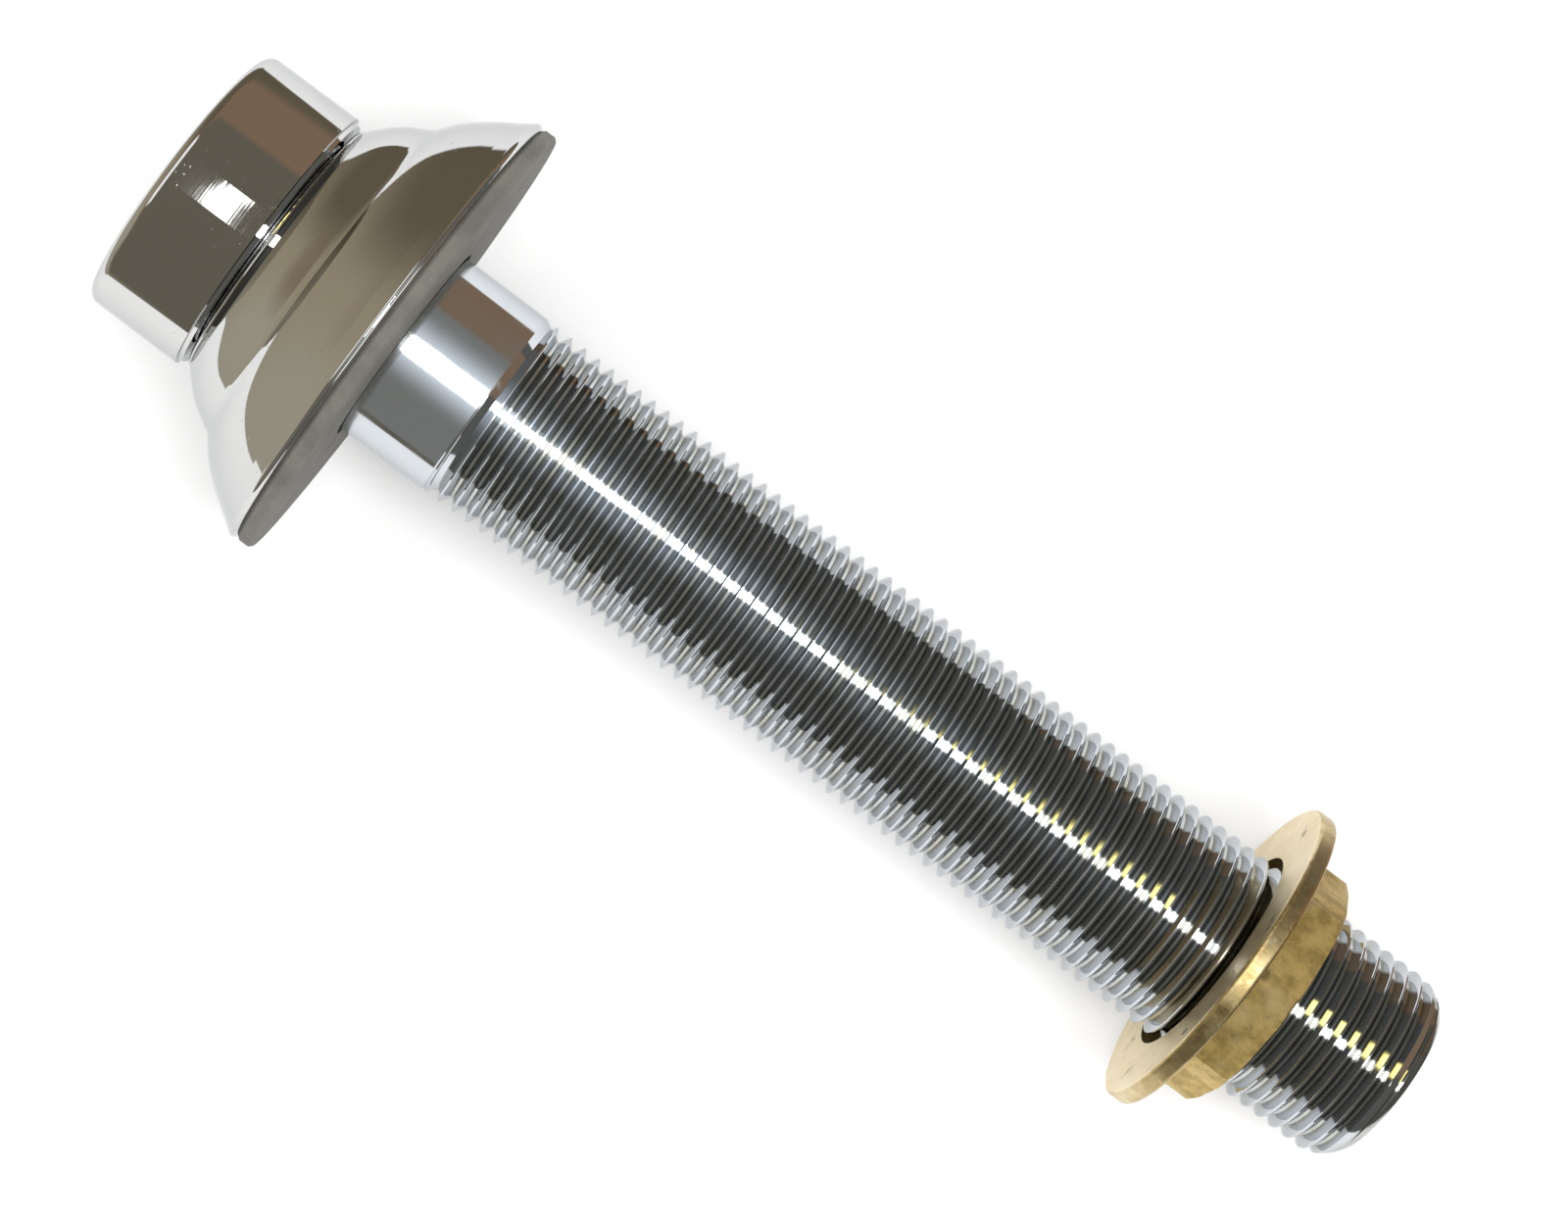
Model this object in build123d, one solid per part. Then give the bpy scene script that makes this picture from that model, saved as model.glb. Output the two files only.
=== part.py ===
"""Chrome-plated through-hull shank fitting with a swivelling front collar.

Row frame, millimetres: the origin is on the shank's axis, in the face of the
gasket that seats on the hull.  +X runs along the axis from the head, outside
the hull, to the threaded tail inside it, and +Z is up.  Every piece is first
drawn about the Z axis, with Z as its station along the shank, and then turned
so that Z becomes +X.
"""
from build123d import *
import math
import os

os.makedirs("parts", exist_ok=True)

INCH = 25.4
TO_ROW = Rotation(0, 90, 0)
FLANK = math.tan(math.radians(30))

# Shank: 7/8 in - 14 thread, 1/2 in bore
SHANK_PITCH = INCH / 14
SHANK_CREST_R = 11.05
SHANK_ROOT_R = SHANK_CREST_R - 0.6134 * SHANK_PITCH
SHANK_CREST_W = 0.09 * SHANK_PITCH
CREST_BREAK = 0.07
NECK_R = 11.10
NECK_END = 10.4
RUNOUT_END = NECK_END + 2 * SHANK_PITCH
THREAD_SHIFT = 0.5
TAIL_END = 128.5
NOSE_START = 124.7
NOSE_R = 8.9
BORE_R = 6.35
BORE_BREAK = 0.6
CORE_R = SHANK_ROOT_R - 0.4
LAYER_R = CORE_R - 0.5

# Head of the shank, inside the collar
FLANGE_R = 13.35
FLANGE_FRONT = -23.0
FLANGE_BACK = -20.5

# Swivelling collar with a 1-1/8 in - 18 socket thread
COLLAR_R = 15.9
COLLAR_FRONT = -29.45
COLLAR_BACK = -17.35
COLLAR_EDGE = 1.3
COLLAR_STEP_R = 15.45
COLLAR_STEP = 0.55
COLLAR_BORE_R = NECK_R + 0.2
COLLAR_SEAT = -20.35
SOCKET_PITCH = INCH / 18
SOCKET_MAJOR_R = 14.29
SOCKET_MINOR_R = SOCKET_MAJOR_R - 0.5413 * SOCKET_PITCH
SOCKET_MOUTH_R = 14.5
SOCKET_THREAD_END = -25.4
SOCKET_RELIEF_R = 14.4

# Seal ring in the collar, against the flange
SEAL_R = 13.2
SEAL_HOLE_R = 6.7
SEAL_THICK = 2.0

# Retaining ring and its groove
RING_FRONT = -17.25
RING_THICK = 1.2
RING_R = 12.75
GROOVE_R = 10.4
RING_SIDE_PLAY = 0.05
RING_GAP_DEG = 24.0

# Bell-shaped escutcheon, as (station, radius): front lip, first swell, waist, second swell, rim
BELL_FRONT = -16.9
BELL_FRONT_R = 15.25
BELL_LIP_EDGE = 0.45
SWELL_1 = (-14.0, 17.86)
WAIST_FRONT = (-11.15, 19.62)
WAIST_BACK = (-10.35, 20.33)
SWELL_2 = (-7.7, 23.22)
FLARE = (-4.1, 25.80)
RIM_FRONT = (-2.75, 26.78)
RIM_R = 26.95
LIP_DEG = 47.5
WAIST_FRONT_DEG = 29.0
WAIST_BACK_DEG = 57.0
FLARE_DEG = 32.0
BELL_BACK = -1.7
BELL_WALL = 1.3
BELL_BORE_R = NECK_R + 0.25
BELL_WEB_BACK = -14.2
POCKET_R = 13.15
POCKET_END = -15.95

# Gasket between the bell's rim and the hull
GASKET_R = 26.75
GASKET_HOLE_R = 11.7
GASKET_EDGE = 0.3

# Thrust washer and lock nut, as they stand on the thread
WASHER_FRONT = 105.7
WASHER_THICK = 2.05
WASHER_R = 18.45
WASHER_HOLE_R = 12.0
WASHER_EDGE = 0.45
NUT_FRONT = WASHER_FRONT + WASHER_THICK + 0.05
NUT_BACK = 113.3
NUT_SIDES = 8
NUT_CORNER_R = 14.05
NUT_CHAMFER_R = 13.25
NUT_SEAT_R = 12.6
NUT_TURN = -1.5
THREAD_PLAY = 0.12


def revolved(points):
    """A ring or shaft from its half section, given as (station, radius) points."""
    outline = Wire.make_polygon([(r, 0, z) for z, r in points], close=True)
    return revolve(Face(outline), axis=Axis.Z)


def tube(z_start, z_end, r_out, r_in):
    """A plain tube between two stations."""
    return revolved([(z_start, r_in), (z_start, r_out), (z_end, r_out), (z_end, r_in)])


def thread_form(root_r, crest_r, crest_w, crest_break, pitch):
    """One pitch of a 60 degree thread as (radius, station), centred on its crest."""
    slope = (crest_r - crest_break - root_r) * FLANK
    half = crest_w / 2
    shoulder = half + crest_break
    foot = shoulder + slope
    form = [(root_r, -pitch / 2), (root_r, -foot), (crest_r - crest_break, -shoulder)]
    form += [(crest_r, -half), (crest_r, half)]
    form += [(crest_r - crest_break, shoulder), (root_r, foot), (root_r, pitch / 2)]
    return form


def helical_strip(near, far, pitch):
    """The ruled face between two one-turn helices, each given as (radius, station)."""
    edges = []
    for radius, station in (near, far):
        edges.append(Edge.make_helix(pitch=pitch, height=pitch, radius=radius, center=(0, 0, station)))
    return Face.make_surface_from_curves(edges[0], edges[1])


def thread_layer(form, inner_r, pitch, start, turns):
    """A right-hand threaded layer, from inner_r out to the thread form."""
    origin = Location((0, 0, start))
    steps = [Location((0, 0, start + turn * pitch)) for turn in range(turns)]
    strips = [helical_strip(a, b, pitch) for a, b in zip(form, form[1:])]
    strips.append(helical_strip((inner_r, -pitch / 2), (inner_r, pitch / 2), pitch))
    faces = [strip.moved(step) for step in steps for strip in strips]

    floor = helical_strip((inner_r, -pitch / 2), form[0], pitch)
    section = [(inner_r, 0, -pitch / 2)] + [(r, 0, z) for r, z in form] + [(inner_r, 0, pitch / 2)]
    end_cap = Face(Wire.make_polygon(section, close=True))
    last = Location((0, 0, start + turns * pitch))
    for end_face in (floor, end_cap):
        faces.append(end_face.moved(origin))
        faces.append(end_face.moved(last))
    return Solid(Shell(faces))


def tail_cutter():
    """Everything beyond the rounded nose of the tail."""
    clear_r = SHANK_CREST_R + 1
    far = TAIL_END + 6 * SHANK_PITCH
    foot = (SHANK_CREST_R + 0.02, 0, NOSE_START)
    belly = (SHANK_CREST_R + 0.2 * (NOSE_R - SHANK_CREST_R), 0, (NOSE_START + TAIL_END) / 2)
    tip = (NOSE_R, 0, TAIL_END)
    corners = [tip, (0, 0, TAIL_END), (0, 0, far), (clear_r, 0, far), (clear_r, 0, NOSE_START), foot]
    sides = [Line(start, end) for start, end in zip(corners, corners[1:])]
    return revolve(Face(Wire([ThreePointArc(foot, belly, tip)] + sides)), axis=Axis.Z)


def threaded_rod():
    """The long thread on a tubular core, cut square at the neck and rounded at the tail."""
    form = thread_form(SHANK_ROOT_R, SHANK_CREST_R, SHANK_CREST_W, CREST_BREAK, SHANK_PITCH)
    start = 5 * SHANK_PITCH + THREAD_SHIFT
    turns = math.ceil((TAIL_END - start) / SHANK_PITCH) + 2
    layer = thread_layer(form, LAYER_R, SHANK_PITCH, start, turns)
    core = tube(start - 2 * SHANK_PITCH, TAIL_END + 4 * SHANK_PITCH, CORE_R, LAYER_R - 2)
    rod = layer + core
    return rod - tail_cutter() - tube(0, NECK_END, SHANK_CREST_R + 1, 0)


def shank_body():
    """Headed tube: flange, smooth neck with a ring groove, thread run-out, bore and long thread."""
    groove_front = RING_FRONT - RING_SIDE_PLAY
    groove_back = RING_FRONT + RING_THICK + RING_SIDE_PLAY
    edge = 0.3
    head_and_bore = revolved([
        (FLANGE_FRONT, BORE_R + BORE_BREAK), (FLANGE_FRONT, FLANGE_R - edge),
        (FLANGE_FRONT + edge, FLANGE_R), (FLANGE_BACK, FLANGE_R),
        (FLANGE_BACK, NECK_R), (groove_front, NECK_R),
        (groove_front, GROOVE_R), (groove_back, GROOVE_R), (groove_back, NECK_R),
        (NECK_END, NECK_R), (RUNOUT_END, CORE_R - 0.5), (TAIL_END, CORE_R - 0.8),
        (TAIL_END, BORE_R + BORE_BREAK), (TAIL_END - BORE_BREAK, BORE_R),
        (FLANGE_FRONT + BORE_BREAK, BORE_R),
    ])
    return head_and_bore + threaded_rod()


def coupling_nut():
    """Smooth collar: threaded socket in front, seat for the flange, running bore behind."""
    r, z = COLLAR_R, COLLAR_FRONT
    k = COLLAR_EDGE * (1 - math.sqrt(0.5))
    step = COLLAR_BACK - COLLAR_STEP
    edge = ThreePointArc((r - COLLAR_EDGE, 0, z), (r - k, 0, z + k), (r, 0, z + COLLAR_EDGE))
    corners = [
        (z + COLLAR_EDGE, r), (step, r), (step + 0.1, COLLAR_STEP_R),
        (COLLAR_BACK, COLLAR_STEP_R - 0.1), (COLLAR_BACK, COLLAR_BORE_R), (COLLAR_SEAT, COLLAR_BORE_R),
        (COLLAR_SEAT, SOCKET_RELIEF_R), (SOCKET_THREAD_END, SOCKET_RELIEF_R),
        (SOCKET_THREAD_END, SOCKET_MINOR_R), (z + SOCKET_MOUTH_R - SOCKET_MINOR_R, SOCKET_MINOR_R),
        (z, SOCKET_MOUTH_R), (z, r - COLLAR_EDGE),
    ]
    points = [(radius, 0, station) for station, radius in corners]
    sides = [Line(a, b) for a, b in zip(points, points[1:])]
    body = revolve(Face(Wire([edge] + sides)), axis=Axis.Z)

    form = thread_form(SOCKET_MINOR_R - 0.05, SOCKET_MAJOR_R, SOCKET_PITCH / 8, 0.0, SOCKET_PITCH)
    start = COLLAR_FRONT - SOCKET_PITCH
    turns = math.ceil((SOCKET_THREAD_END - start) / SOCKET_PITCH) + 1
    cutter = thread_layer(form[:3] + form[4:5] + form[6:], SOCKET_MINOR_R - 1.5, SOCKET_PITCH,
                          start, turns)
    return body - cutter


def coupling_seal():
    """Flat rubber ring that a screwed-in hose end presses on the flange."""
    return tube(FLANGE_FRONT - SEAL_THICK, FLANGE_FRONT, SEAL_R, SEAL_HOLE_R)


def retaining_ring():
    """Split ring in the neck's groove: the collar swivels before it, the bell bears behind it."""
    ring = tube(RING_FRONT, RING_FRONT + RING_THICK, RING_R, GROOVE_R + 0.05)
    gap_width = 2 * RING_R * math.sin(math.radians(RING_GAP_DEG / 2))
    slot = Pos(0, RING_R, RING_FRONT) * Box(gap_width, 2 * RING_R, 4 * RING_THICK)
    return ring - slot


def bell_flange():
    """Hollow spun bell: two swells with a tight waist between them, and a thin flared rim."""
    def at(point, inset=0.0):
        """A section point, moved inset mm square to the bell's mean slope."""
        shift = inset * math.sqrt(0.5)
        return (point[1] - shift, 0, point[0] + shift)

    def heading(degrees):
        """Direction along the section at that angle to the axis."""
        return (math.sin(math.radians(degrees)), 0, math.cos(math.radians(degrees)))

    lip = BELL_LIP_EDGE
    lip_front = (BELL_FRONT, BELL_FRONT_R - lip)
    lip_back = (BELL_FRONT + lip, BELL_FRONT_R + 0.12)
    rim_edge = (BELL_BACK - 0.3, RIM_R - 0.1)
    rim_foot = (BELL_BACK, RIM_R - 0.45)
    before, after = heading(WAIST_FRONT_DEG), heading(WAIST_BACK_DEG)
    outer = [
        Line((POCKET_R, 0, BELL_FRONT), at(lip_front)),
        ThreePointArc(at(lip_front), at((BELL_FRONT + 0.12, BELL_FRONT_R - 0.1)), at(lip_back)),
        Spline(at(lip_back), at(SWELL_1), at(WAIST_FRONT), tangents=[heading(LIP_DEG), before]),
        Spline(at(WAIST_FRONT), at(WAIST_BACK), tangents=[before, after]),
        Spline(at(WAIST_BACK), at(SWELL_2), at(FLARE), tangents=[after, heading(FLARE_DEG)]),
        Line(at(FLARE), at(RIM_FRONT)),
        ThreePointArc(at(RIM_FRONT), at((RIM_FRONT[0] + 0.35, RIM_R)), at(rim_edge)),
        Line(at(rim_edge), at(rim_foot)),
    ]
    foot_r = RIM_R - BELL_WALL - 1.0
    shoulder = (BELL_WEB_BACK, BELL_FRONT_R + 0.35)
    inner = [
        Line(at(rim_foot), (foot_r, 0, BELL_BACK)),
        Line((foot_r, 0, BELL_BACK), at(FLARE, BELL_WALL)),
        ThreePointArc(at(FLARE, BELL_WALL), at(SWELL_2, BELL_WALL), at(WAIST_FRONT, BELL_WALL)),
        Line(at(WAIST_FRONT, BELL_WALL), at(shoulder)),
        Line(at(shoulder), (BELL_BORE_R, 0, BELL_WEB_BACK)),
        Line((BELL_BORE_R, 0, BELL_WEB_BACK), (BELL_BORE_R, 0, POCKET_END)),
        Line((BELL_BORE_R, 0, POCKET_END), (POCKET_R, 0, POCKET_END)),
        Line((POCKET_R, 0, POCKET_END), (POCKET_R, 0, BELL_FRONT)),
    ]
    return revolve(Face(Wire(outer + inner)), axis=Axis.Z)


def hull_gasket():
    """Flat soft ring under the bell's rim."""
    edge = GASKET_EDGE
    return revolved([
        (BELL_BACK, GASKET_HOLE_R), (BELL_BACK, GASKET_R - edge), (BELL_BACK + edge, GASKET_R),
        (-edge, GASKET_R), (0, GASKET_R - edge), (0, GASKET_HOLE_R),
    ])


def thrust_washer():
    """Flat brass washer with both outer edges rolled over."""
    ring = tube(WASHER_FRONT, WASHER_FRONT + WASHER_THICK, WASHER_R, WASHER_HOLE_R)
    rims = [edge for edge in ring.edges().filter_by(GeomType.CIRCLE) if edge.radius > WASHER_R - 0.1]
    return fillet(rims, WASHER_EDGE)


def lock_nut():
    """Eight-sided brass nut, chamfered at both ends, on the shank's thread."""
    height = NUT_BACK - NUT_FRONT
    blank = extrude(RegularPolygon(NUT_CORNER_R, NUT_SIDES, rotation=NUT_TURN), height)
    blank = Pos(0, 0, NUT_FRONT) * blank
    front_drop = (NUT_CORNER_R - NUT_SEAT_R) * FLANK
    back_drop = (NUT_CORNER_R - NUT_CHAMFER_R) * FLANK
    turned = revolved([
        (NUT_FRONT, 0), (NUT_FRONT, NUT_SEAT_R), (NUT_FRONT + front_drop, NUT_CORNER_R + 0.01),
        (NUT_BACK - back_drop, NUT_CORNER_R + 0.01), (NUT_BACK, NUT_CHAMFER_R), (NUT_BACK, 0),
    ])
    minor_r = SHANK_ROOT_R + 1.6 * THREAD_PLAY
    major_r = SHANK_CREST_R + THREAD_PLAY
    mouth_r = major_r + 0.25
    depth = mouth_r - minor_r
    bore = revolved([
        (NUT_FRONT, 0), (NUT_FRONT, mouth_r), (NUT_FRONT + depth, minor_r),
        (NUT_BACK - depth, minor_r), (NUT_BACK, mouth_r), (NUT_BACK, 0),
    ])
    crest_w = SHANK_CREST_W + 2 * CREST_BREAK + THREAD_PLAY / 2
    form = thread_form(minor_r - 0.05, major_r, crest_w, 0.0, SHANK_PITCH)
    first = math.floor(NUT_FRONT / SHANK_PITCH) - 1
    turns = math.ceil(height / SHANK_PITCH) + 3
    cutter = thread_layer(form[:3] + form[4:5] + form[6:], minor_r - 1.5, SHANK_PITCH,
                          first * SHANK_PITCH + THREAD_SHIFT, turns)
    return (blank & turned) - bore - cutter


PIECES = (shank_body, coupling_nut, coupling_seal, retaining_ring, bell_flange, hull_gasket,
          thrust_washer, lock_nut)

for piece in PIECES:
    solid = TO_ROW * piece()
    solid.label = piece.__name__
    export_step(solid, f"parts/{piece.__name__}.step")
    box = solid.bounding_box()
    print(f"{piece.__name__}: {solid.volume:.1f} mm3, X {box.min.X:.2f} to {box.max.X:.2f}")
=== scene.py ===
import math

import bpy
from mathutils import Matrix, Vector


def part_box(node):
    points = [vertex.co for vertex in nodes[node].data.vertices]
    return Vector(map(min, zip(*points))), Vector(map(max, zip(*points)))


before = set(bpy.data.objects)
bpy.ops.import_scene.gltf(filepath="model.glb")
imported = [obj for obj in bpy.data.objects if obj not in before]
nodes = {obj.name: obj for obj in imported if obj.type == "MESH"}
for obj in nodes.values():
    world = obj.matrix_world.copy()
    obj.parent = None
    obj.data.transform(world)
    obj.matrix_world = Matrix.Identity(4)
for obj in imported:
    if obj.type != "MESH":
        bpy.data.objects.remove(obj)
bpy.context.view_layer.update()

scene = bpy.context.scene
scene.view_settings.view_transform = "Standard"

# Camera: straight down on the shank, which runs from upper left to lower right in the view.
# It stands over FOOT_X, and the lens shift slides the view's centre to AIM_X.
ROLL = math.radians(36.9)
FOCAL_MM = 95.5
SENSOR_MM = 36.0
DISTANCE = 0.4355
CLIP_START = 0.01
AIM_X = 0.0485
AIM_Y = 0.0016
FOOT_X = 0.0200

# Plating: its index of refraction, and a tint that keeps it grey at grazing angles
PLATE_IOR = 2.5
EDGE_TINT = (0.72, 0.73, 0.74, 1.0)

# Radii on the shank, each with its fade: bare brass inside the first, plating darker in patches inside
# the second
BORE_EDGE = (0.0066, 0.0072)
DEEP_DARKER_TOP = (0.0100, 0.0105)

# Floor: a square sheet that reaches FLOOR_HALF each way, FLOOR_DROP below the two rims.
# Plating sees it only inside three edges, each of which fades between two distances from
# the aim, measured up or to the right in the view.
FLOOR_HALF = 3.0
FLOOR_DROP = 0.0002
FLOOR_GREY = 0.93
SHEET_TOP = (0.099, 0.105)
SHEET_LEFT = (-0.172, -0.164)
SHEET_RIGHT = (0.082, 0.090)

# Brightness of the soft light that rough surfaces take from all round
DOME = 1.20

# Ray depth that separates one reflection from several
MIRRORED_ONCE = (2.4, 2.6)

# Room: where things stand, as ranges of a direction's parts along X, Y and Z.
# Two numbers are a fade; four are a band, which fades in over two and out over two.
TAIL_FADE = (0.0, 0.19)
HEAD_FADE = (-0.055, -0.085)
WALL_UP = (0.10, 0.20)
WALL_TOP = (0.62, 0.52)
THREADS_MIDDLE = 0.30
THREADS_EDGE = (0.310, 0.322)
AHEAD_FADE = (-0.35, -0.65)
AHEAD_UPPER = (0.55, 0.0)
AHEAD_LOWER = (0.0, -0.55)
AHEAD_RISE = (0.25, 0.60)
BOX_ALONG = (0.45, 0.52, 0.76, 0.82)
BOX_ACROSS = (0.50, 0.42)
BOX_RISE = (0.50, 0.58)
WARM_LAMP_ALONG = (0.62, 0.66, 0.80, 0.84)
WARM_LAMP_ACROSS = (0.10, 0.14, 0.36, 0.40)
WARM_LAMP_RISE = (0.57, 0.60, 0.72, 0.76)
GLOW_MIDDLE = 0.057
GLOW_ACROSS = (0.78, 0.12)
GLOW_POWER = 1.5
GLOW_HEAD = (-0.085, -0.055)
GLOW_TAIL = (0.0, 0.24)
GLOW_RISE = (0.3, 0.6)

# Lamps beside the lens: name, centre (x, y), size (along X, along Y), radiance
LAMPS = (
    ("flash_neck", (-0.014, 0.026), (0.030, 0.165), 9.0),
    ("flash_strip", (0.125, 0.030), (0.240, 0.086), 10.0),
    ("flash_head", (-0.0655, 0.040), (0.0060, 0.190), 5.0),
)


def rgb(r, g, b):
    return (r, g, b, 1.0)


# Room colours
BESIDE_NECK = rgb(0.280, 0.278, 0.262)
BEHIND_TAIL = rgb(0.142, 0.140, 0.127)
OVER_HEAD = rgb(0.180, 0.163, 0.125)
WARM_WALL = rgb(0.295, 0.200, 0.132)
AHEAD_HIGH = rgb(0.17, 0.141, 0.096)
AHEAD_LEVEL = rgb(0.43, 0.37, 0.265)
AHEAD_LOW = rgb(0.49, 0.455, 0.36)
AHEAD_TOP = rgb(0.22, 0.156, 0.11)
SOFT_BOX = rgb(1.3, 1.3, 1.28)
WARM_LAMP = rgb(6.0, 5.0, 1.6)
LAMP_GLOW = rgb(0.80, 0.87, 0.96)
WHITE = rgb(1.0, 1.0, 1.0)


class Tree:
    """Short calls that build one shader node tree."""

    def __init__(self, owner):
        owner.use_nodes = True
        self.tree = owner.node_tree
        self.tree.nodes.clear()

    def plug(self, socket, value):
        if isinstance(value, bpy.types.NodeSocket):
            self.tree.links.new(value, socket)
        elif value is not None:
            socket.default_value = value

    def node(self, kind, inputs=None, **settings):
        made = self.tree.nodes.new(kind)
        for key, value in settings.items():
            setattr(made, key, value)
        for key, value in (inputs or {}).items():
            self.plug(made.inputs[key], value)
        return made

    def math(self, operation, a, b=None):
        return self.node("ShaderNodeMath", {0: a, 1: b}, operation=operation).outputs[0]

    def ramp(self, value, low, high, to_low=0.0, to_high=1.0):
        """value from low..high to to_low..to_high, smoothed at both ends."""
        ends = {"Value": value, "From Min": low, "From Max": high, "To Min": to_low, "To Max": to_high}
        made = self.node("ShaderNodeMapRange", ends, interpolation_type="SMOOTHSTEP")
        return made.outputs["Result"]

    def mix(self, factor, a, b, blend="MIX"):
        made = self.node("ShaderNodeMix", data_type="RGBA", blend_type=blend)
        self.plug(made.inputs["Factor"], factor)
        self.plug(made.inputs[6], a)
        self.plug(made.inputs[7], b)
        return made.outputs[2]

    def noise(self, vector, scale, detail=3.0, roughness=0.5):
        sockets = {"Vector": vector, "Scale": scale, "Detail": detail, "Roughness": roughness}
        return self.node("ShaderNodeTexNoise", sockets).outputs["Fac"]

    def scaled(self, vector, factors):
        made = self.node("ShaderNodeVectorMath", {0: vector, 1: factors}, operation="MULTIPLY")
        return made.outputs["Vector"]

    def bump(self, height, depth, normal=None):
        """A normal bent by height times depth, in metres."""
        sockets = {"Height": height, "Distance": depth, "Strength": 1.0, "Normal": normal}
        return self.node("ShaderNodeBump", sockets).outputs["Normal"]

    def along(self, vector, direction):
        """How far a vector reaches in one direction."""
        made = self.node("ShaderNodeVectorMath", {0: vector, 1: direction}, operation="DOT_PRODUCT")
        return made.outputs["Value"]

    def away_from(self, value, centre):
        """Distance of a value from a centre."""
        return self.math("ABSOLUTE", self.math("SUBTRACT", value, centre))

    def all_of(self, first, *others):
        """Product of masks."""
        for other in others:
            first = self.math("MULTIPLY", first, other)
        return first

    def band(self, value, start, full, last, end):
        """1 from full to last, falling to 0 at start and end."""
        return self.math("MULTIPLY", self.ramp(value, start, full), self.ramp(value, end, last))


class Surface(Tree):
    """A material with one Principled shader and the object's own coordinates."""

    def __init__(self, name, **constants):
        self.material = bpy.data.materials.new(name)
        super().__init__(self.material)
        self.shader = self.node("ShaderNodeBsdfPrincipled")
        self.output = self.node("ShaderNodeOutputMaterial")
        self.tree.links.new(self.shader.outputs["BSDF"], self.output.inputs["Surface"])
        self.place = self.node("ShaderNodeTexCoord").outputs["Object"]
        for key, value in constants.items():
            self.set(key.replace("_", " "), value)

    def set(self, key, value):
        self.plug(self.shader.inputs[key], value)

    def radius(self):
        """Distance from the shank's axis."""
        parts = self.node("ShaderNodeSeparateXYZ", {"Vector": self.place})
        _, y, z = parts.outputs
        squares = self.math("ADD", self.math("MULTIPLY", y, y), self.math("MULTIPLY", z, z))
        return self.math("SQRT", squares)

    def rings(self, scale):
        """Noise in fine rings about the shank: it changes fast along X and slowly round it."""
        return self.noise(self.scaled(self.place, (1.0, 0.02, 0.02)), scale, 2.0, 0.6)


def polished_chrome():
    """Mirror plating over spun and turned brass: soft waviness, wipe haze and a few pits."""
    s = Surface("polished_chrome", Metallic=1.0, IOR=PLATE_IOR)
    s.set("Specular Tint", EDGE_TINT)
    haze = s.noise(s.place, 140, 4, 0.6)
    streaks = s.noise(s.scaled(s.place, (1.0, 0.25, 0.25)), 900, 3, 0.6)
    pits = s.ramp(s.noise(s.place, 1900, 2, 0.7), 0.70, 0.76)
    tone = s.mix(haze, rgb(0.57, 0.57, 0.56), rgb(0.62, 0.62, 0.61))
    s.set("Base Color", s.mix(pits, tone, rgb(0.42, 0.41, 0.38)))
    hazy = s.ramp(haze, 0.35, 0.75, 0.02, 0.04)
    s.set("Roughness", s.math("ADD", hazy, s.ramp(streaks, 0.55, 0.75, 0.0, 0.01)))
    wave = s.bump(s.noise(s.place, 90, 1, 0.4), 0.000008)
    spun = s.bump(s.rings(1700), 0.0000012, wave)
    s.set("Normal", s.bump(pits, -0.000004, spun))
    return s.material


def shank_chrome():
    """Thinner plating on turned and threaded brass, darker in patches deep in the threads."""
    s = Surface("shank_chrome", Metallic=1.0, IOR=PLATE_IOR)
    s.set("Specular Tint", EDGE_TINT)
    haze = s.noise(s.place, 220, 4, 0.6)
    radius = s.radius()
    plate = s.mix(haze, rgb(0.53, 0.56, 0.59), rgb(0.60, 0.62, 0.64))
    # Plating darker in patches inside the second radius, deep in the threads
    deep_darker = s.math("MULTIPLY", s.ramp(radius, *DEEP_DARKER_TOP, 1.0, 0.0), s.ramp(haze, 0.35, 0.65, 0.3, 0.9))
    plated = s.mix(deep_darker, plate, rgb(0.40, 0.39, 0.34))
    bore = s.ramp(radius, *BORE_EDGE, 1.0, 0.0)
    s.set("Base Color", s.mix(bore, plated, rgb(0.72, 0.55, 0.25)))
    s.set("Roughness", s.ramp(haze, 0.3, 0.75, 0.06, 0.12))
    s.set("Normal", s.bump(s.rings(5200), 0.000002, s.bump(s.noise(s.place, 120, 2), 0.00001)))
    return s.material


def raw_brass(name, face, rim, face_rough, rim_rough, grain_depth):
    """Unplated brass with faced flats and grainy rims; face and rim are colours (dark, mid, pale)."""
    s = Surface(name, Metallic=1.0, IOR=1.5)
    mottle = s.noise(s.place, 420, 5, 0.65)
    patches = s.noise(s.place, 110, 3, 0.6)
    grain = s.noise(s.place, 1900, 3, 0.7)
    spots = s.ramp(s.noise(s.place, 300, 2, 0.5), 0.66, 0.74)
    normal = s.node("ShaderNodeTexCoord").outputs["Normal"]
    flat = s.ramp(s.math("ABSOLUTE", s.along(normal, (1, 0, 0))), 0.80, 0.95)
    dark, mid, pale = [s.mix(flat, on_rim, on_face) for on_rim, on_face in zip(rim, face)]
    tone = s.mix(s.ramp(mottle, 0.35, 0.65), dark, mid)
    tone = s.mix(s.ramp(patches, 0.45, 0.70, 0.0, 0.7), tone, pale)
    s.set("Base Color", s.mix(s.math("MULTIPLY", spots, 0.6), tone, rgb(0.16, 0.11, 0.05)))
    rough = s.ramp(flat, 0.0, 1.0, rim_rough, face_rough)
    s.set("Roughness", s.math("ADD", rough, s.ramp(grain, 0.3, 0.7, -0.06, 0.08)))
    depth = s.ramp(flat, 0.0, 1.0, 1.0, 0.15)
    coarse = s.bump(s.math("MULTIPLY", mottle, depth), grain_depth)
    s.set("Normal", s.bump(s.math("MULTIPLY", grain, depth), grain_depth * 0.35, coarse))
    return s.material


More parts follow.
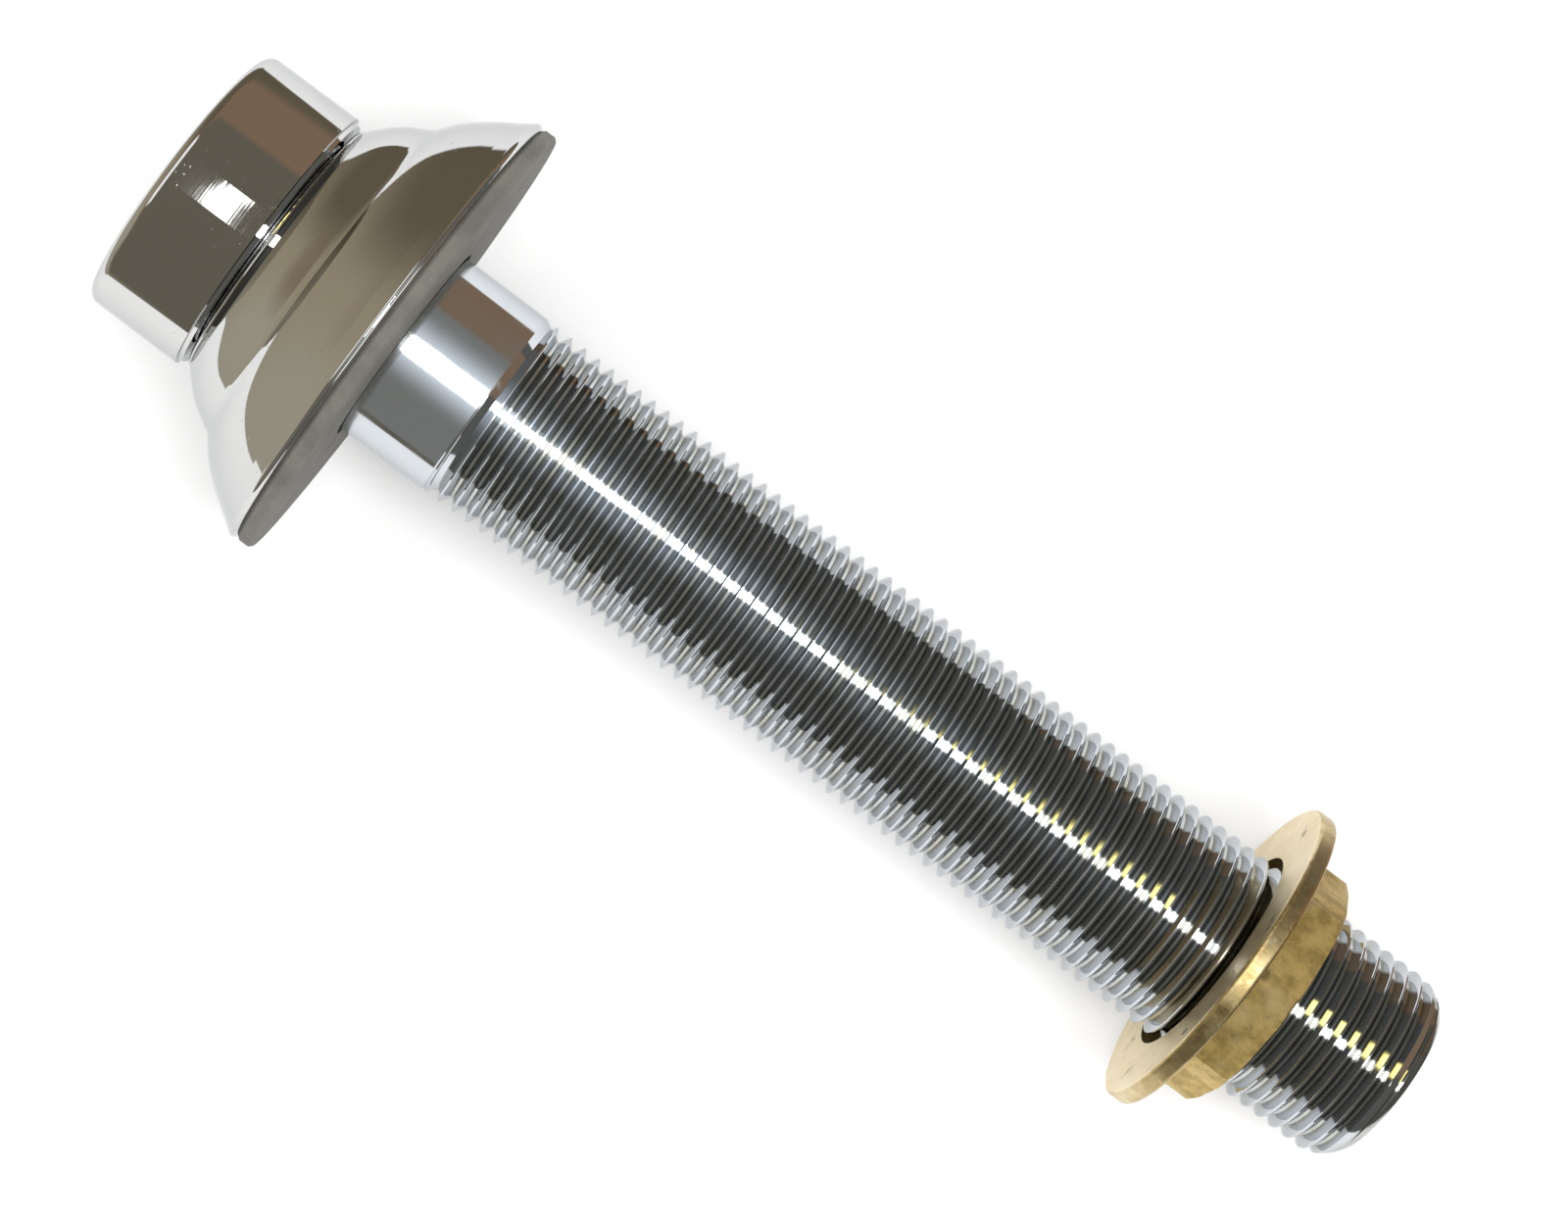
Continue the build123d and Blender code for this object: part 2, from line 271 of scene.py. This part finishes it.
def rubber(name, dark, pale, rough):
    """Moulded rubber with a faintly dusty skin."""
    s = Surface(name, IOR=1.5)
    patches = s.noise(s.place, 160, 5, 0.65)
    grain = s.noise(s.place, 3500, 2, 0.6)
    s.set("Base Color", s.mix(s.ramp(patches, 0.3, 0.7), dark, pale))
    s.set("Roughness", s.ramp(grain, 0.3, 0.7, rough - 0.1, rough + 0.1))
    s.set("Normal", s.bump(grain, 0.00002, s.bump(patches, 0.00003)))
    return s.material


def spring_steel():
    """Bare spring steel, dull with bright rubs."""
    s = Surface("spring_steel", Metallic=1.0, IOR=PLATE_IOR)
    wear = s.noise(s.place, 700, 4, 0.7)
    s.set("Base Color", s.mix(s.ramp(wear, 0.45, 0.7), rgb(0.30, 0.30, 0.31), rgb(0.55, 0.55, 0.55)))
    s.set("Roughness", s.ramp(wear, 0.3, 0.7, 0.45, 0.25))
    s.set("Normal", s.bump(wear, 0.00001))
    return s.material


def dress():
    """Gives every CAD node its finish."""
    chrome = polished_chrome()
    # The washer's cream faces are partly its faced finish and partly a painted reflection of the pale
    # floor
    cream = (rgb(0.80, 0.67, 0.43), rgb(0.86, 0.74, 0.49), rgb(0.92, 0.81, 0.58))
    gold = (rgb(0.40, 0.29, 0.12), rgb(0.56, 0.44, 0.22), rgb(0.70, 0.60, 0.38))
    dull = (rgb(0.44, 0.32, 0.11), rgb(0.72, 0.55, 0.22), rgb(0.80, 0.66, 0.36))
    finishes = {
        "shank_body": shank_chrome(),
        "coupling_nut": chrome,
        "bell_flange": chrome,
        "hull_gasket": rubber("grey_rubber", rgb(0.108, 0.104, 0.088), rgb(0.155, 0.147, 0.125), 0.7),
        "coupling_seal": rubber("black_rubber", rgb(0.015, 0.015, 0.015), rgb(0.04, 0.04, 0.04), 0.6),
        "retaining_ring": spring_steel(),
        "thrust_washer": raw_brass("washer_brass", cream, gold, 0.42, 0.36, 0.00003),
        "lock_nut": raw_brass("nut_brass", dull, dull, 0.60, 0.62, 0.00007),
    }
    for name, material in finishes.items():
        nodes[name].material_slots[0].material = material


def room(t, direction):
    """The dim room that plating mirrors. In the view X runs to the lower right, past the tail,
    Y to the upper right, and Z to the lens.

    Rays mirrored once see tall soft boxes at both ends and a warm wall. Rays mirrored more often,
    as between the threads' flanks, see a small warm lamp instead.
    """
    x, y, z = t.node("ShaderNodeSeparateXYZ", {"Vector": direction}).outputs
    once = t.ramp(t.node("ShaderNodeLightPath").outputs["Ray Depth"], *MIRRORED_ONCE, 1.0, 0.0)

    colour = t.mix(t.ramp(x, *TAIL_FADE), BESIDE_NECK, BEHIND_TAIL)
    colour = t.mix(t.ramp(x, *HEAD_FADE), colour, OVER_HEAD)
    off_threads = t.ramp(t.away_from(x, THREADS_MIDDLE), *THREADS_EDGE)
    warm_wall = t.all_of(t.ramp(y, *WALL_UP), t.ramp(z, *WALL_TOP), off_threads, once)
    colour = t.mix(warm_wall, colour, WARM_WALL)

    ahead = t.mix(t.ramp(y, *AHEAD_UPPER), AHEAD_HIGH, AHEAD_LEVEL)
    ahead = t.mix(t.ramp(y, *AHEAD_LOWER), ahead, AHEAD_LOW)
    ahead = t.mix(t.ramp(z, *AHEAD_RISE), ahead, AHEAD_TOP)
    colour = t.mix(t.ramp(x, *AHEAD_FADE), colour, ahead)

    box_along = t.band(t.math("ABSOLUTE", x), *BOX_ALONG)
    box_across = t.ramp(t.math("ABSOLUTE", y), *BOX_ACROSS)
    boxes = t.all_of(box_along, box_across, t.ramp(z, *BOX_RISE), once)
    colour = t.mix(boxes, colour, SOFT_BOX)

    again = t.math("SUBTRACT", 1.0, once)
    warm_lamp = t.all_of(t.band(x, *WARM_LAMP_ALONG), t.band(y, *WARM_LAMP_ACROSS),
                         t.band(z, *WARM_LAMP_RISE), again)
    colour = t.mix(warm_lamp, colour, WARM_LAMP)

    round_lamps = t.math("POWER", t.ramp(t.away_from(y, GLOW_MIDDLE), *GLOW_ACROSS), GLOW_POWER)
    glow = t.all_of(round_lamps, t.ramp(x, *GLOW_HEAD), t.ramp(x, *GLOW_TAIL, 1.0, 0.0),
                    t.ramp(z, *GLOW_RISE))
    return t.mix(glow, colour, LAMP_GLOW, "ADD")


def rest_plane():
    """Plane under the bell's rim and the washer, as (point, slope along X)."""
    bell_low, bell_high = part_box("bell_flange")
    washer_low, washer_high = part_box("thrust_washer")
    front = Vector((bell_high.x, 0, bell_low.z))
    back = Vector((washer_high.x, 0, washer_low.z))
    return front, (back.z - front.z) / (back.x - front.x)


def floor():
    """The pale sheet that the fitting lies on, tilted to its two rims; plating sees the room beyond."""
    point, slope = rest_plane()
    signs = ((-1, -1), (1, -1), (1, 1), (-1, 1))
    corners = [(sx * FLOOR_HALF, sy * FLOOR_HALF, sx * FLOOR_HALF * slope) for sx, sy in signs]
    mesh = bpy.data.meshes.new("floor")
    mesh.from_pydata(corners, [], [(0, 1, 2, 3)])
    made = bpy.data.objects.new("floor", mesh)
    made.location = point - Vector((0, 0, FLOOR_DROP))
    scene.collection.objects.link(made)

    s = Surface("pale_floor", Roughness=0.6, IOR=1.45)
    s.set("Specular IOR Level", 0.0)
    s.set("Base Color", rgb(FLOOR_GREY, FLOOR_GREY, FLOOR_GREY))
    aimed = s.node("ShaderNodeVectorMath", {0: s.place, 1: (AIM_X, AIM_Y, 0)}, operation="SUBTRACT")
    offset = aimed.outputs["Vector"]
    up = s.along(offset, (-math.sin(ROLL), math.cos(ROLL), 0))
    right = s.along(offset, (math.cos(ROLL), math.sin(ROLL), 0))
    sheet = s.all_of(s.ramp(up, *SHEET_TOP, 1.0, 0.0), s.ramp(right, *SHEET_LEFT),
                     s.ramp(right, *SHEET_RIGHT, 1.0, 0.0))
    # Past the sheet's edges mirrored rays see the floor glow with the room's colours: a painted
    # reflection of the room
    mirrored = s.node("ShaderNodeLightPath").outputs["Is Glossy Ray"]
    past_sheet = s.math("MULTIPLY", mirrored, s.math("SUBTRACT", 1.0, sheet))
    outward = s.node("ShaderNodeVectorMath", {0: offset}, operation="NORMALIZE").outputs["Vector"]
    room_glow = s.node("ShaderNodeEmission", {"Color": room(s, outward)}).outputs["Emission"]
    sheet_shader = s.shader.outputs["BSDF"]
    both = s.node("ShaderNodeMixShader", {0: past_sheet, 1: sheet_shader, 2: room_glow})
    s.tree.links.new(both.outputs["Shader"], s.output.inputs["Surface"])
    mesh.materials.append(s.material)


def surroundings():
    """A white studio for the eye and for soft light, and the dim room for reflections."""
    world = bpy.data.worlds.new("studio")
    scene.world = world
    t = Tree(world)
    direction = t.node("ShaderNodeTexCoord").outputs["Generated"]
    path = t.node("ShaderNodeLightPath")
    soft = t.mix(path.outputs["Is Diffuse Ray"], room(t, direction), rgb(DOME, DOME, DOME))
    seen = t.mix(path.outputs["Is Camera Ray"], soft, WHITE)
    background = t.node("ShaderNodeBackground", {"Color": seen, "Strength": 1.0})
    output = t.node("ShaderNodeOutputWorld")
    t.tree.links.new(background.outputs[0], output.inputs["Surface"])


def camera():
    """Straight down on the shank, slid along it by the lens shift."""
    data = bpy.data.cameras.new("camera")
    data.lens = FOCAL_MM
    data.sensor_width = SENSOR_MM
    data.sensor_fit = "HORIZONTAL"
    slide = (AIM_X - FOOT_X) * FOCAL_MM / SENSOR_MM / DISTANCE
    data.shift_x = slide * math.cos(ROLL)
    data.shift_y = -slide * math.sin(ROLL)
    data.clip_start = CLIP_START
    made = bpy.data.objects.new("camera", data)
    made.location = (FOOT_X, AIM_Y, DISTANCE)
    made.rotation_euler = (0, 0, ROLL)
    scene.collection.objects.link(made)
    scene.camera = made


def lamp(name, centre, size, radiance):
    """A flat lamp at the lens's height that looks straight down."""
    data = bpy.data.lights.new(name, "AREA")
    data.shape = "RECTANGLE"
    data.size, data.size_y = size
    data.energy = radiance * math.pi * size[0] * size[1]
    made = bpy.data.objects.new(name, data)
    made.location = (*centre, DISTANCE)
    scene.collection.objects.link(made)


dress()
floor()
surroundings()
camera()
for name, centre, size, radiance in LAMPS:
    lamp(name, centre, size, radiance)
